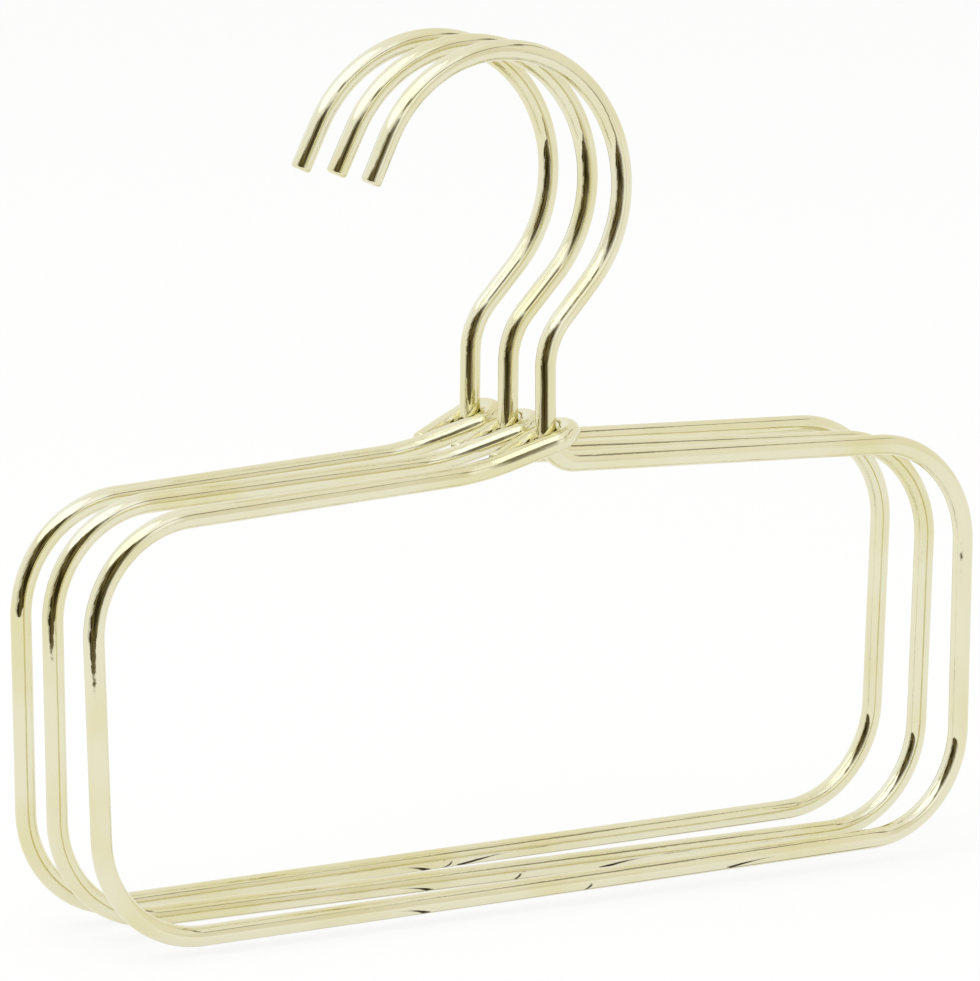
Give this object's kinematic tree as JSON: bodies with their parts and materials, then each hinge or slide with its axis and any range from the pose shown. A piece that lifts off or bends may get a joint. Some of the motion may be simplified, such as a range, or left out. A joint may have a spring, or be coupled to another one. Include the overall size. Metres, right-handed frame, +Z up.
{
  "type": "scarf hanger set",
  "caption": "Slim gold-plated wire hangers for scarves, hung side by side: each a bent wire with an open hook, a wound neck and a low frame with rounded corners.",
  "frame": {"origin": "inner top of the middle hanger's hook, in the plane of its wire's centreline, where the rail's top bears", "axes": "+X along the frames, from the hooks' open side towards their closed side; +Y along the rail, from the front hanger to the back one; +Z up"},
  "size_m": [0.2006, 0.0395, 0.1671],
  "materials": {
    "gold_plated_wire": "polished"
  },
  "bodies": {
    "middle_hanger": {"middle_hanger": "gold_plated_wire"},
    "front_hanger": {"front_hanger": "gold_plated_wire"},
    "back_hanger": {"back_hanger": "gold_plated_wire"}
  },
  "joints": [
    {"name": "front_slide", "type": "slide", "parent": "middle_hanger", "child": "front_hanger", "axis": [0, -1, 0], "range_m": [0, 0.1]},
    {"name": "back_slide", "type": "slide", "parent": "middle_hanger", "child": "back_hanger", "axis": [0, 1, 0], "range_m": [0, 0.1]}
  ]
}
